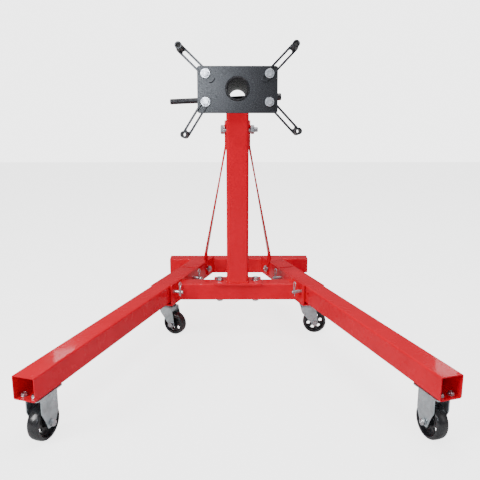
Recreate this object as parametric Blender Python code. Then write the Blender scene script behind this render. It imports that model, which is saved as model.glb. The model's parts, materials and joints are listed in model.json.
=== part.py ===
"""Folding engine stand: splayed legs, square mast, rotating head with four slotted arms.

Metres, +Z up, engine side towards -Y. Left is -X, right is +X.
"""
import math

import bmesh
import bpy
from mathutils import Matrix, Vector

MM = 0.001
GAP = 0.3 * MM                      # clearance left between touching pieces

# Overall layout
MAST_Y = 188.8 * MM                 # mast axis behind the middle of the footprint
SPLAY = math.radians(18.29)         # each leg's angle from straight ahead
LEG_FRONT = (460.56 * MM, -715.7 * MM)   # middle of a leg's front end, from the mast axis
SIDES = (("left", -1), ("right", 1))

# Legs and frame sections
LEG_W = 57 * MM
LEG_WALL = 3 * MM
LEG_Z = 155.5 * MM                  # height of the legs' centre line
LEG_END = 908 * MM                  # distance along the leg from its front end
RAIL_START = 915.5 * MM
BEAM_W = 55 * MM
BEAM_Z = 149.5 * MM
REAR_BAR_Y = 319.5 * MM
REAR_BAR_LEN = 522 * MM
REAR_BAR_X = 5 * MM                 # the bar sits a little to the right of the mast

# Sockets
PLATE_IN = 32 * MM                  # inner face of a socket plate from the leg's centre plane
PLATE_OUT = 37 * MM
SOCKET_START = 687 * MM
FLOOR_END = 800 * MM
FLOOR_Z = (117 * MM, 121 * MM)
PLATE_TOP = {"inner": 187 * MM, "outer": 180 * MM}
PLATE_REAR_LOW = 127 * MM
PIN_Z = 163 * MM
LOCK_PIN_U = 703 * MM
PIVOT_PIN_U = 866 * MM
PIN_R = 5 * MM
PIN_HOLE_R = 5.3 * MM

# Mast
MAST_W = 70 * MM
MAST_WALL = 3.5 * MM
FOOT_TOP = 183.3 * MM
FOOT_THICK = 6 * MM
FOOT_BOLT_X = 59 * MM

# Head, along its own tilted axis
HEAD_Z = 778.7 * MM
HEAD_TILT = math.radians(3.71)
COLLAR_R = 36.5 * MM
COLLAR_BORE_R = 30.5 * MM
SHAFT_R = 30 * MM
SHAFT_BORE_R = 27 * MM
HEAD_FACE = -200 * MM               # front face of the head plate
HEAD_THICK = 9 * MM
ARM_BOLT_X = 88 * MM
ARM_BOLT_Z = (-36 * MM, 40 * MM)
HANDLE_Y = 150 * MM
LOCK_Y = 40 * MM

# Slotted arms: name, side, height index, reach across, reach up
ARMS = (
    ("upper_left", -1, 1, -67 * MM, 65 * MM),
    ("upper_right", 1, 1, 66 * MM, 69 * MM),
    ("lower_left", -1, 0, -56 * MM, -89 * MM),
    ("lower_right", 1, 0, 75 * MM, -80 * MM),
)
ARM_LEN = 123 * MM
ARM_R = 11 * MM
SLOT_R = 5.25 * MM
ARM_THICK = 8 * MM
BOSS_R = 9.5 * MM
BOSS_HOLE_R = 5.6 * MM
BOSS_LEN = 62 * MM

# Casters
FRONT_U = 65 * MM
FRONT_OUT = 6 * MM
FRONT_PLATE_U = 53 * MM
FRONT_WHEEL_R = 44.5 * MM
REAR_SWIVEL_U = 754 * MM
REAR_SWIVEL_OUT = 8 * MM
REAR_WHEEL_R = 38.1 * MM
TRAIL = 26 * MM
REAR_YAW = {"left": -30.0, "right": -1.0}
WEB_HALF = 3 * MM
FRONT_AXLE_R = 5 * MM
REAR_AXLE_R = 5 * MM
AXLE_FLATS = 8 * MM

FINISHES = {
    "red": ((0.55, 0.012, 0.016), 0.22, 0.0),
    "black": ((0.018, 0.018, 0.02), 0.45, 0.0),
    "zinc": ((0.62, 0.63, 0.64), 0.32, 1.0),
    "iron": ((0.02, 0.02, 0.021), 0.5, 0.2),
}

for old in list(bpy.data.objects):
    bpy.data.objects.remove(old, do_unlink=True)

parts = bpy.data.collections.new("engine_stand")
cutters = bpy.data.collections.new("engine_stand_cutters")
bpy.context.scene.collection.children.link(parts)
bpy.context.scene.collection.children.link(cutters)


def frame(name, parent, location, rotation=(0, 0, 0)):
    """An empty that carries pieces in its own axes."""
    empty = bpy.data.objects.new(name, None)
    empty.parent = parent
    empty.location = location
    empty.rotation_euler = rotation
    parts.objects.link(empty)
    return empty


def piece(name, bm, finish, parent, location=(0, 0, 0), rotation=(0, 0, 0), smooth=True):
    """A visible sub-part with its own material."""
    bmesh.ops.recalc_face_normals(bm, faces=bm.faces)
    mesh = bpy.data.meshes.new(name)
    bm.to_mesh(mesh)
    bm.free()
    if smooth:
        mesh.shade_smooth()
        mesh.set_sharp_from_angle(angle=math.radians(40))
    colour, roughness, metallic = FINISHES[finish]
    material = bpy.data.materials.new(name + "_finish")
    material.use_nodes = True
    shader = material.node_tree.nodes["Principled BSDF"]
    shader.inputs["Base Color"].default_value = (*colour, 1)
    shader.inputs["Roughness"].default_value = roughness
    shader.inputs["Metallic"].default_value = metallic
    material.diffuse_color = (*colour, 1)
    mesh.materials.append(material)
    obj = bpy.data.objects.new(name, mesh)
    obj.parent = parent
    obj.location = location
    obj.rotation_euler = rotation
    parts.objects.link(obj)
    return obj


def combine(obj, bm, operation, location=(0, 0, 0), rotation=(0, 0, 0)):
    """Cut a closed shape from obj, or add it, in the axes of obj."""
    bmesh.ops.recalc_face_normals(bm, faces=bm.faces)
    mesh = bpy.data.meshes.new(obj.name + "_cut")
    bm.to_mesh(mesh)
    bm.free()
    tool = bpy.data.objects.new(mesh.name, mesh)
    tool.parent = obj
    tool.location = location
    tool.rotation_euler = rotation
    tool.hide_render = True
    tool.display_type = "WIRE"
    cutters.objects.link(tool)
    modifier = obj.modifiers.new("combine", "BOOLEAN")
    modifier.operation = operation
    modifier.solver = "EXACT"
    modifier.object = tool


def block(size, centre=(0, 0, 0), bevel=0.0, along=None, segments=2):
    """A box, its edges along one axis rounded."""
    bm = bmesh.new()
    bmesh.ops.create_cube(bm, size=1)
    bmesh.ops.scale(bm, vec=size, verts=bm.verts)
    if bevel:
        edges = [e for e in bm.edges
                 if abs((e.verts[1].co - e.verts[0].co).normalized()["xyz".index(along)]) > 0.9]
        bmesh.ops.bevel(bm, geom=edges, offset=bevel, segments=segments, profile=0.5,
                        affect="EDGES")
    bmesh.ops.translate(bm, vec=centre, verts=bm.verts)
    return bm


def rod(radius, start, end, segments=16, axis="x"):
    """A cylinder along one axis, centred on the other two."""
    turn = {"x": Matrix.Rotation(math.pi / 2, 4, "Y"),
            "y": Matrix.Rotation(-math.pi / 2, 4, "X"),
            "z": Matrix.Identity(4)}[axis]
    bm = bmesh.new()
    bmesh.ops.create_cone(bm, cap_ends=True, segments=segments, radius1=radius,
                          radius2=radius, depth=end - start)
    bmesh.ops.translate(bm, vec=(0, 0, (start + end) / 2), verts=bm.verts)
    bmesh.ops.transform(bm, matrix=turn, verts=bm.verts)
    return bm


def panel(outline, low, high, axis="x"):
    """A flat outline given thickness along one axis."""
    bm = bmesh.new()
    order = {"x": lambda a, b: (low, a, b), "y": lambda a, b: (a, low, b),
             "z": lambda a, b: (a, b, low)}[axis]
    face = bm.faces.new([bm.verts.new(order(a, b)) for a, b in outline])
    shift = Vector([high - low if c == axis else 0 for c in "xyz"])
    made = bmesh.ops.extrude_face_region(bm, geom=[face])
    moved = [v for v in made["geom"] if isinstance(v, bmesh.types.BMVert)]
    bmesh.ops.translate(bm, vec=shift, verts=moved)
    return bm


def arc(cx, cz, radius, start, end, steps):
    """Points on an arc, angles in degrees."""
    points = []
    for i in range(steps + 1):
        angle = math.radians(start + (end - start) * i / steps)
        points.append((cx + radius * math.cos(angle), cz + radius * math.sin(angle)))
    return points


def turned(rings, segments=12, hollow=False):
    """Sections stacked along Z: (z, radius) round, (z, half across flats, 6) hexagonal.

    A hollow one joins its last section to its first, so the rings run out and back.
    """
    bm = bmesh.new()
    loops = []
    for ring in rings:
        loop = []
        for i in range(segments):
            angle = math.tau * i / segments
            radius = ring[1]
            if len(ring) == 3:
                part = math.tau / ring[2]
                radius /= math.cos((angle % part) - part / 2)
            loop.append(bm.verts.new((radius * math.cos(angle), radius * math.sin(angle),
                                      ring[0])))
        loops.append(loop)
    pairs = list(zip(loops, loops[1:]))
    if hollow:
        pairs.append((loops[-1], loops[0]))
    else:
        bm.faces.new(list(reversed(loops[0])))
        bm.faces.new(loops[-1])
    for low, high in pairs:
        for i in range(segments):
            j = (i + 1) % segments
            bm.faces.new((low[i], low[j], high[j], high[i]))
    return bm


def skew_end(bm, beyond, slope, across="x", along="y"):
    """Shear the end that lies beyond a distance, so that it meets a slanted face."""
    a = "xyz".index(across)
    b = "xyz".index(along)
    for v in bm.verts:
        if (v.co[b] > beyond) if beyond > 0 else (v.co[b] < beyond):
            v.co[b] += slope * v.co[a]
    return bm


def plate_face_x(y, offset):
    """Where the plane at an outward offset from a leg crosses a given Y."""
    return (LEG_FRONT[0] - math.tan(SPLAY) * (y - LEG_FRONT[1]) + offset / math.cos(SPLAY))


def leg_distance(y, offset):
    """Distance along a leg at a given Y, on a plane offset outwards from it."""
    return (y - LEG_FRONT[1] - offset * math.sin(SPLAY)) / math.cos(SPLAY)


stand = frame("mast_axis", None, (0, MAST_Y, 0))
legs = {}
for word, side in SIDES:
    legs[word] = frame(word + "_leg_line", stand, (side * LEG_FRONT[0], LEG_FRONT[1], 0),
                       (0, 0, side * SPLAY))

# ---------------------------------------------------------------- cross tube and rear bar
tube_x = plate_face_x(0, -PLATE_OUT) - GAP / math.cos(SPLAY)
bm = block((2 * tube_x, BEAM_W, BEAM_W), bevel=4 * MM, along="x")
skew_end(bm, tube_x / 2, -math.tan(SPLAY), "y", "x")
skew_end(bm, -tube_x / 2, math.tan(SPLAY), "y", "x")
cross_tube = piece("cross_tube", bm, "red", stand, (0, 0, BEAM_Z))
inner = BEAM_W - 2 * LEG_WALL
combine(cross_tube, block((600 * MM, inner, inner), bevel=2 * MM, along="x"), "DIFFERENCE")
for word, side in SIDES:
    combine(cross_tube, rod(6.3 * MM, -40 * MM, 40 * MM, axis="z"), "DIFFERENCE",
            (side * FOOT_BOLT_X, -2 * MM, 0))

rear_bar = piece("rear_bar", block((REAR_BAR_LEN, BEAM_W, BEAM_W), bevel=4 * MM, along="x"),
                 "red", stand, (REAR_BAR_X, REAR_BAR_Y, BEAM_Z))
combine(rear_bar, block((600 * MM, inner, inner), bevel=2 * MM, along="x"), "DIFFERENCE")

# ---------------------------------------------------------------- sockets, rails and legs
bar_face = REAR_BAR_Y - BEAM_W / 2 - GAP
brace_u = leg_distance(225 * MM, -(PLATE_IN + PLATE_OUT) / 2)
BRACE_BOLT_Z = 159 * MM
leg_inner = LEG_W - 2 * LEG_WALL
for word, side in SIDES:
    line = legs[word]
    slope = -side * math.tan(SPLAY)

    mitre = leg_distance(bar_face, 0)
    length = mitre - RAIL_START
    bm = block((LEG_W, length, LEG_W), (0, length / 2, 0), 4 * MM, "y")
    skew_end(bm, length / 2, slope)
    rail = piece(word + "_rear_rail", bm, "red", line, (0, RAIL_START, LEG_Z))
    combine(rail, block((leg_inner, 600 * MM, leg_inner), bevel=2 * MM, along="y"), "DIFFERENCE")
    combine(rail, rod(6.3 * MM, -30 * MM, 0), "DIFFERENCE",
            (0, brace_u - RAIL_START, BRACE_BOLT_Z - LEG_Z), (0, 0, 0 if side > 0 else math.pi))

    for place, low, high in (("inner", -PLATE_OUT, -PLATE_IN), ("outer", PLATE_IN, PLATE_OUT)):
        low, high = sorted((side * low, side * high))
        under = FLOOR_Z[1] + GAP
        outline = [(SOCKET_START, under), (FLOOR_END, under),
                   (FLOOR_END + 12 * MM, PLATE_REAR_LOW), (mitre, PLATE_REAR_LOW),
                   (mitre, PLATE_TOP[place]), (SOCKET_START, PLATE_TOP[place])]
        bm = skew_end(panel(outline, low, high), 900 * MM, slope)
        plate = piece(word + "_socket_" + place + "_plate", bm, "red", line)
        for u in (LOCK_PIN_U, PIVOT_PIN_U):
            combine(plate, rod(PIN_HOLE_R, -50 * MM, 50 * MM), "DIFFERENCE", (0, u, PIN_Z))
        if place == "inner":
            combine(plate, rod(6.3 * MM, -50 * MM, 50 * MM), "DIFFERENCE",
                    (0, brace_u, BRACE_BOLT_Z))

    piece(word + "_socket_floor",
          block((2 * PLATE_OUT, FLOOR_END - SOCKET_START, FLOOR_Z[1] - FLOOR_Z[0]),
                (0, (FLOOR_END + SOCKET_START) / 2, sum(FLOOR_Z) / 2)), "red", line)

    bm = block((LEG_W, LEG_END, LEG_W), (0, LEG_END / 2 - PIVOT_PIN_U, LEG_Z - PIN_Z), 4 * MM, "y")
    leg = piece(word + "_leg", bm, "red", line, (0, PIVOT_PIN_U, PIN_Z))
    combine(leg, block((leg_inner, 2.2, leg_inner), bevel=2 * MM, along="y"), "DIFFERENCE",
            (0, 0, LEG_Z - PIN_Z))
    combine(leg, rod(PIN_HOLE_R, -50 * MM, 50 * MM), "DIFFERENCE")
    # The lock pin's way in is open downwards, so the leg lifts off the pin as it folds
    slot = [(-5.4, 3), (-4, 5), (0, 5.6), (4, 5), (5.4, 3), (14, -60), (-5.4, -60)]
    combine(leg, panel([(a * MM, b * MM) for a, b in slot], -50 * MM, 50 * MM), "DIFFERENCE",
            (0, LOCK_PIN_U - PIVOT_PIN_U, 0))
    combine(leg, rod(4 * MM, -40 * MM, -10 * MM, 12), "DIFFERENCE",
            (0, 672 * MM - PIVOT_PIN_U, 0), (0, 0, 0 if side > 0 else math.pi))

# ---------------------------------------------------------------- pins and spring clips
PIN_TIP = -70 * MM
CLIP_AT = -60 * MM
clip_wire = 1.5 * MM
for word, side in SIDES:
    for kind, u in (("lock", LOCK_PIN_U), ("pivot", PIVOT_PIN_U)):
        rings = [(PIN_TIP, 3.6 * MM), (PIN_TIP + 1.4 * MM, PIN_R), (PLATE_OUT + GAP, PIN_R),
                 (PLATE_OUT + GAP, 9 * MM), (PLATE_OUT + 4.5 * MM, 9 * MM),
                 (PLATE_OUT + 6 * MM, 7.5 * MM)]
        holder = frame(word + "_" + kind + "_pin_line", legs[word], (0, u, PIN_Z),
                       (0, 0, 0 if side > 0 else math.pi))
        pin = piece(word + "_" + kind + "_pin", turned(rings, 16), "zinc", holder,
                    (0, 0, 0), (0, math.pi / 2, 0))
        combine(pin, rod(clip_wire + 0.3 * MM, -20 * MM, 20 * MM, 12), "DIFFERENCE",
                (0, 0, CLIP_AT))

        wire = bpy.data.curves.new(word + "_" + kind + "_clip", "CURVE")
        wire.dimensions = "3D"
        wire.bevel_depth = clip_wire
        wire.bevel_resolution = 1
        wire.use_fill_caps = True
        path = [(0, -15), (0, 14), (-3.5, 19)]
        path += arc(1.5, 25, 7.6, 208, -28, 7)
        path += [(8.6, 17), (8.0, 8), (8.6, 0), (10.4, -9)]
        spline = wire.splines.new("POLY")
        spline.points.add(len(path) - 1)
        for point, (a, b) in zip(spline.points, path):
            point.co = (0, a * MM, b * MM, 1)
        carrier = bpy.data.objects.new("clip_path", wire)
        cutters.objects.link(carrier)
        bpy.context.view_layer.update()
        solid = bpy.data.meshes.new_from_object(carrier.evaluated_get(
            bpy.context.evaluated_depsgraph_get()))
        bpy.data.objects.remove(carrier, do_unlink=True)
        bm = bmesh.new()
        bm.from_mesh(solid)
        bmesh.ops.remove_doubles(bm, verts=bm.verts, dist=0.00001)
        piece(word + "_" + kind + "_clip", bm, "zinc", holder, (CLIP_AT, 0, 0))

# ---------------------------------------------------------------- mast, foot and collar
head = frame("head_axis", stand, (0, 0, HEAD_Z), (-HEAD_TILT, 0, 0))
mast_base = FOOT_TOP + GAP
mast_top = 772 * MM
bm = block((MAST_W, MAST_W, mast_top - mast_base), (0, 0, (mast_top + mast_base) / 2), 8 * MM,
           "z", 3)
mast = piece("mast_tube", bm, "red", stand)
mast_inner = MAST_W - 2 * MAST_WALL
combine(mast, block((mast_inner, mast_inner, 2.0), bevel=4.5 * MM, along="z", segments=3),
        "DIFFERENCE")
combine(mast, rod(COLLAR_R + GAP, -120 * MM, 120 * MM, 48, "y"), "DIFFERENCE", (0, 0, HEAD_Z),
        (-HEAD_TILT, 0, 0))
BRACE_TOP_Z = 672 * MM
combine(mast, rod(8.3 * MM, -60 * MM, 60 * MM), "DIFFERENCE", (0, 0, BRACE_TOP_Z))

foot = piece("mast_foot_plate",
             block((155 * MM, 82 * MM, FOOT_THICK),
                   (0, -6 * MM, FOOT_TOP - FOOT_THICK / 2), 4 * MM, "z"), "red", stand)
for word, side in SIDES:
    combine(foot, rod(6.3 * MM, -20 * MM, 20 * MM, axis="z"), "DIFFERENCE",
            (side * FOOT_BOLT_X, -2 * MM, FOOT_TOP))
    top = FOOT_TOP + GAP
    rings = [(112 * MM, 5 * MM), (113 * MM, 6 * MM), (top, 6 * MM), (top, 13 * MM),
             (top + 2.4 * MM, 13 * MM), (top + 2.4 * MM, 9.3 * MM, 6),
             (top + 9.5 * MM, 9.3 * MM, 6), (top + 10.3 * MM, 8.2 * MM)]
    piece(word + "_foot_bolt", turned(rings), "zinc", stand, (side * FOOT_BOLT_X, -2 * MM, 0))
    below = BEAM_Z - BEAM_W / 2 - GAP
    rings = [(below, 6.3 * MM), (below, 9.3 * MM, 6), (below - 10 * MM, 9.3 * MM, 6),
             (below - 10 * MM, 6.3 * MM)]
    piece(word + "_foot_nut", turned(rings, hollow=True), "zinc", stand,
          (side * FOOT_BOLT_X, -2 * MM, 0))

rings = [(-165 * MM, COLLAR_BORE_R), (-165 * MM, COLLAR_R - MM), (-164 * MM, COLLAR_R),
         (84 * MM, COLLAR_R), (85 * MM, COLLAR_R - MM), (85 * MM, COLLAR_BORE_R)]
collar = piece("head_collar", turned(rings, 40, True), "red", head, (0, 0, 0),
               (-math.pi / 2, 0, 0))
combine(collar, rod(6.4 * MM, 0, 60 * MM, axis="y"), "DIFFERENCE", (0, 0, LOCK_Y), (math.pi, 0, 0))

# ---------------------------------------------------------------- braces and their bolts
BRACE_W = 32 * MM
BRACE_T = 5 * MM
for word, side in SIDES:
    lay = BRACE_T / 2 + GAP
    low_x = plate_face_x(201.3 * MM, -PLATE_OUT) - lay / math.cos(SPLAY)
    end_x = plate_face_x(232.9 * MM, -PLATE_OUT) - lay / math.cos(SPLAY)
    flat_x = MAST_W / 2 + lay
    spine = [Vector((flat_x, -9.6 * MM, 694 * MM)), Vector((flat_x, 23.7 * MM, 618 * MM)),
             Vector((low_x, 201.3 * MM, 213 * MM)), Vector((end_x, 232.9 * MM, 141 * MM))]
    facing = [Vector((1, 0, 0)), Vector((1, 0, 0)),
              Vector((math.cos(SPLAY), math.sin(SPLAY), 0)),
              Vector((math.cos(SPLAY), math.sin(SPLAY), 0))]
    bm = bmesh.new()
    loops = []
    for i, (point, normal) in enumerate(zip(spine, facing)):
        run = (spine[1] - spine[0]) if i < 2 else (spine[3] - spine[2])
        run.normalize()
        width = run.cross(normal).normalized()
        stations = [(0.0, 0.5)]
        if i == 0:
            stations = [(0.0, 0.28), (7 * MM, 0.5)]
        if i == 3:
            stations = [(-7 * MM, 0.5), (0.0, 0.28)]
        for shift, half in stations:
            centre = point + run * shift
            loop = []
            for a, b in ((-1, -1), (1, -1), (1, 1), (-1, 1)):
                co = centre + width * (a * half * BRACE_W) + normal * (b * BRACE_T / 2)
                loop.append(bm.verts.new((side * co.x, co.y, co.z)))
            loops.append(loop)
    bm.faces.new(loops[0])
    bm.faces.new(loops[-1])
    for low, high in zip(loops, loops[1:]):
        for i in range(4):
            j = (i + 1) % 4
            bm.faces.new((low[i], low[j], high[j], high[i]))
    bmesh.ops.triangulate(bm, faces=[f for f in bm.faces if len(f.verts) == 4])
    brace = piece(word + "_brace", bm, "red", stand, smooth=False)
    combine(brace, rod(8.3 * MM, -60 * MM, 60 * MM), "DIFFERENCE", (0, 0, BRACE_TOP_Z))
    bolt_x = LEG_FRONT[0] - brace_u * math.sin(SPLAY) - PLATE_OUT * math.cos(SPLAY)
    bolt_y = LEG_FRONT[1] + brace_u * math.cos(SPLAY) - PLATE_OUT * math.sin(SPLAY)
    combine(brace, rod(6.3 * MM, -30 * MM, 30 * MM), "DIFFERENCE",
            (side * bolt_x, bolt_y, BRACE_BOLT_Z), (0, 0, side * SPLAY))

    start = PLATE_OUT + 2 * GAP + BRACE_T
    rings = [(-20 * MM, 5 * MM), (-21 * MM, 6 * MM), (-start, 6 * MM), (-start, 12 * MM),
             (-start - 2 * MM, 12 * MM), (-start - 2 * MM, 9 * MM, 6),
             (-start - 9 * MM, 9 * MM, 6), (-start - 9.8 * MM, 8 * MM)]
    piece(word + "_brace_bolt", turned(rings, hollow=False), "zinc", legs[word],
          (0, brace_u, BRACE_BOLT_Z), (0, side * math.pi / 2, 0))

face = MAST_W / 2 + BRACE_T + 2 * GAP
rings = [(-face - 12 * MM, 11 * MM), (-face - 11 * MM, 12.2 * MM, 6), (-face, 12.2 * MM, 6),
         (-face, 8 * MM), (face + 22 * MM, 8 * MM), (face + 23 * MM, 7 * MM)]
piece("brace_top_bolt", turned(rings), "zinc", stand, (0, 0, BRACE_TOP_Z), (0, math.pi / 2, 0))
rings = [(face, 8.3 * MM), (face, 12.2 * MM, 6), (face + 12 * MM, 12.2 * MM, 6),
         (face + 12 * MM, 8.3 * MM)]
piece("brace_top_nut", turned(rings, hollow=True), "zinc", stand, (0, 0, BRACE_TOP_Z),
      (0, math.pi / 2, 0))

# ---------------------------------------------------------------- rotating head
bm = block((222 * MM, HEAD_THICK, 127 * MM), (0, HEAD_FACE + HEAD_THICK / 2, -2.5 * MM),
           6 * MM, "y", 3)
plate = piece("head_plate", bm, "black", head)
combine(plate, rod(SHAFT_R + GAP, -230 * MM, -150 * MM, 48, "y"), "DIFFERENCE")
rings = [(-199 * MM, SHAFT_BORE_R), (-199 * MM, SHAFT_R), (170 * MM, SHAFT_R),
         (170 * MM, SHAFT_BORE_R)]
shaft = piece("head_tube", turned(rings, 40, True), "black", head, (0, 0, 0),
              (-math.pi / 2, 0, 0))
combine(shaft, rod(6.5 * MM, -40 * MM, 40 * MM, 12), "DIFFERENCE", (0, 0, LOCK_Y))
combine(shaft, rod(6.5 * MM, -40 * MM, 40 * MM, 12, "y"), "DIFFERENCE", (0, 0, LOCK_Y))
HANDLE_DROP = 2.7 * MM
HANDLE_TILT = math.radians(2.6)
combine(shaft, rod(9.3 * MM, -45 * MM, 45 * MM), "DIFFERENCE", (0, HANDLE_DROP, HANDLE_Y),
        (0, 0, -HANDLE_TILT))
rings = [(-224 * MM, 8 * MM), (-223 * MM, 9 * MM), (121 * MM, 9 * MM), (121 * MM, 11 * MM),
         (122 * MM, 12 * MM), (144 * MM, 12 * MM), (146 * MM, 10.5 * MM)]
piece("handle_bar", turned(rings, 20), "black", head, (0, HANDLE_Y, -HANDLE_DROP),
      (0, math.pi / 2 - HANDLE_TILT, 0))
rings = [(30.6 * MM, 5 * MM), (31.6 * MM, 6 * MM), (51 * MM, 6 * MM), (51 * MM, 9 * MM),
         (52 * MM, 10.5 * MM), (66 * MM, 10.5 * MM), (68 * MM, 9 * MM)]
piece("head_lock_pin", turned(rings, 20), "zinc", head, (0, LOCK_Y, 0))

for name, side, level, reach_x, reach_z in ARMS:
    reach = math.hypot(reach_x, reach_z)
    bolt_line = frame("bolt_line_" + name, head, (side * ARM_BOLT_X, HEAD_FACE, ARM_BOLT_Z[level]),
                      (0, -math.atan2(reach_z, reach_x), 0))
    combine(plate, rod(5.3 * MM, -20 * MM, 20 * MM, 16, "y"), "DIFFERENCE",
            (side * ARM_BOLT_X, HEAD_FACE, ARM_BOLT_Z[level]))

    inner_end = reach - ARM_LEN
    outline = arc(reach, 0, ARM_R, -90, 90, 8) + arc(inner_end + ARM_R, 0, ARM_R, 90, 270, 8)
    opening = arc(reach - 16 * MM, 0, SLOT_R, -90, 90, 6)
    opening += arc(inner_end + ARM_R, 0, SLOT_R, 90, 270, 6)
    arm = piece("arm_" + name, panel(outline, -ARM_THICK - GAP, -GAP, "y"), "black", bolt_line)
    combine(arm, panel(opening, -30 * MM, 30 * MM, "y"), "DIFFERENCE")
    combine(arm, rod(BOSS_R, -GAP - BOSS_LEN - ARM_THICK, -GAP - MM, 24, "y"), "UNION",
            (reach, 0, 0))
    combine(arm, rod(BOSS_HOLE_R, -120 * MM, 30 * MM, 16, "y"), "DIFFERENCE", (reach, 0, 0))

    near = -ARM_THICK - 2 * GAP
    back = HEAD_THICK + GAP
    rings = [(back + 13 * MM, 4.2 * MM), (back + 12 * MM, 5 * MM), (back + 9 * MM, 5 * MM),
             (back + 9 * MM, 8.5 * MM, 6), (back, 8.5 * MM, 6), (back, 5 * MM), (near, 5 * MM),
             (near, 13 * MM), (near - 2.2 * MM, 13 * MM), (near - 2.2 * MM, 8.5 * MM, 6),
             (near - 9.5 * MM, 8.5 * MM, 6), (near - 10.3 * MM, 7.5 * MM)]
    piece("bolt_" + name, turned(rings), "zinc", bolt_line, (0, 0, 0), (-math.pi / 2, 0, 0))

# ---------------------------------------------------------------- casters


def wheel_rings(radius, half_rim, half_hub, hub_r, bore_r):
    """Outline of a cast wheel's half section, out one side and back the other."""
    rim = radius - 10 * MM
    side = [(half_hub, bore_r), (half_hub, hub_r), (WEB_HALF, hub_r + 3 * MM),
            (WEB_HALF, rim - 2 * MM), (half_rim, rim), (half_rim - MM, radius - 3 * MM),
            (5 * MM, radius)]
    return side + [(-z, r) for z, r in reversed(side)]


def axle_rings(radius, grip):
    """An axle bolt from its head to the thread end beyond its nut, half its grip each way."""
    head = 8.5 * MM
    return [(-grip - head, AXLE_FLATS - MM), (-grip - head + MM, AXLE_FLATS, 6),
            (-grip, AXLE_FLATS, 6), (-grip, radius), (grip, radius), (grip, AXLE_FLATS, 6),
            (grip + head, AXLE_FLATS, 6), (grip + head, radius), (grip + head + 2 * MM, radius),
            (grip + head + 3 * MM, radius - MM)]


for word, side in SIDES:
    line = legs[word]
    wheel_z = FRONT_WHEEL_R
    plate_top = LEG_Z - LEG_W / 2 - GAP
    yoke_line = frame(word + "_front_axle_line", line, (side * FRONT_OUT, FRONT_U, wheel_z))
    yoke = piece(word + "_front_yoke",
                 block((64 * MM, 94 * MM, 3 * MM),
                       (-side * FRONT_OUT / 2, FRONT_PLATE_U - FRONT_U,
                        plate_top - 1.5 * MM - wheel_z), 5 * MM, "z"), "zinc", yoke_line)
    crown = plate_top - MM - wheel_z
    cheek = [(-30 * MM, crown), (-30 * MM, 32 * MM), (-19 * MM, 10 * MM), (-12 * MM, -6 * MM),
             (-7 * MM, -11 * MM), (11 * MM, -11 * MM), (16 * MM, -7 * MM), (24 * MM, 8 * MM),
             (30 * MM, 24 * MM), (30 * MM, crown)]
    for edge in (-1, 1):
        low, high = sorted((edge * 18.5 * MM, edge * 21.5 * MM))
        combine(yoke, panel(cheek, low, high), "UNION")
    combine(yoke, rod(FRONT_AXLE_R + GAP, -40 * MM, 40 * MM, 16), "DIFFERENCE")
    wheel = piece(word + "_front_wheel",
                  turned(wheel_rings(FRONT_WHEEL_R, 15.5 * MM, 18.1 * MM, 12 * MM,
                                    FRONT_AXLE_R + 0.4 * MM), 30, True),
                  "iron", yoke_line, (0, 0, 0), (0, math.pi / 2, 0))
    for i in range(5):
        turn = math.tau * (i + 0.35) / 5
        combine(wheel, rod(7 * MM, -20 * MM, 20 * MM, 10, "z"), "DIFFERENCE",
                (24.5 * MM * math.cos(turn), 24.5 * MM * math.sin(turn), 0))
    piece(word + "_front_axle", turned(axle_rings(FRONT_AXLE_R, 21.8 * MM)), "zinc", yoke_line,
          (0, 0, 0), (0, math.pi / 2, 0))

    under = FLOOR_Z[0] - GAP
    plate = piece(word + "_rear_caster_plate",
                  block((56 * MM, 78 * MM, 3 * MM),
                        (side * REAR_SWIVEL_OUT, REAR_SWIVEL_U, under - 1.5 * MM), 5 * MM, "z"),
                  "zinc", line)
    swivel = frame(word + "_swivel_axis", line, (side * REAR_SWIVEL_OUT, REAR_SWIVEL_U, 0),
                   (0, 0, math.radians(REAR_YAW[word]) - side * SPLAY))
    race = under - 3 * MM - GAP
    rings = [(92 * MM, 16 * MM), (92 * MM, 23 * MM), (96 * MM, 24 * MM), (99 * MM, 24 * MM),
             (100 * MM, 20 * MM), (102 * MM, 20 * MM), (103 * MM, 25 * MM), (race - MM, 25 * MM),
             (race, 23.5 * MM)]
    fork = piece(word + "_rear_fork", turned(rings, 24), "zinc", swivel)
    combine(fork, block((48 * MM, 42.6 * MM, 4 * MM), (4 * MM, 0, 92.5 * MM), 3 * MM, "z"),
            "UNION")
    cheek = [(-20 * MM, 94.5 * MM), (-18 * MM, 76 * MM)]
    cheek += arc(TRAIL, REAR_WHEEL_R, 11 * MM, 200, 380, 8)
    cheek += [(TRAIL + 8 * MM, 62 * MM), (27 * MM, 94.5 * MM)]
    for edge in (-1, 1):
        low, high = sorted((edge * 18.3 * MM, edge * 21.3 * MM))
        combine(fork, panel(cheek, low, high, "y"), "UNION")
    combine(fork, rod(REAR_AXLE_R + GAP, -40 * MM, 40 * MM, axis="y"), "DIFFERENCE",
            (TRAIL, 0, REAR_WHEEL_R))
    axle_line = frame(word + "_rear_axle_line", swivel, (TRAIL, 0, REAR_WHEEL_R))
    wheel = piece(word + "_rear_wheel",
                  turned(wheel_rings(REAR_WHEEL_R, 15 * MM, 17.9 * MM, 11 * MM,
                                    REAR_AXLE_R + 0.4 * MM), 30, True),
                  "iron", axle_line, (0, 0, 0), (math.pi / 2, 0, 0))
    for i in range(6):
        turn = math.tau * (i + 0.23) / 6
        combine(wheel, rod(5.8 * MM, -20 * MM, 20 * MM, 10, "z"), "DIFFERENCE",
                (20.2 * MM * math.cos(turn), 20.2 * MM * math.sin(turn), 0))
    piece(word + "_rear_axle", turned(axle_rings(REAR_AXLE_R, 21.6 * MM)), "zinc", axle_line,
          (0, 0, 0), (math.pi / 2, 0, 0))
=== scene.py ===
"""Looks of the folding engine stand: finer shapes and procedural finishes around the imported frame."""

import json
import math
import random

import bmesh
import bpy
from mathutils import Matrix, Vector


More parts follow.
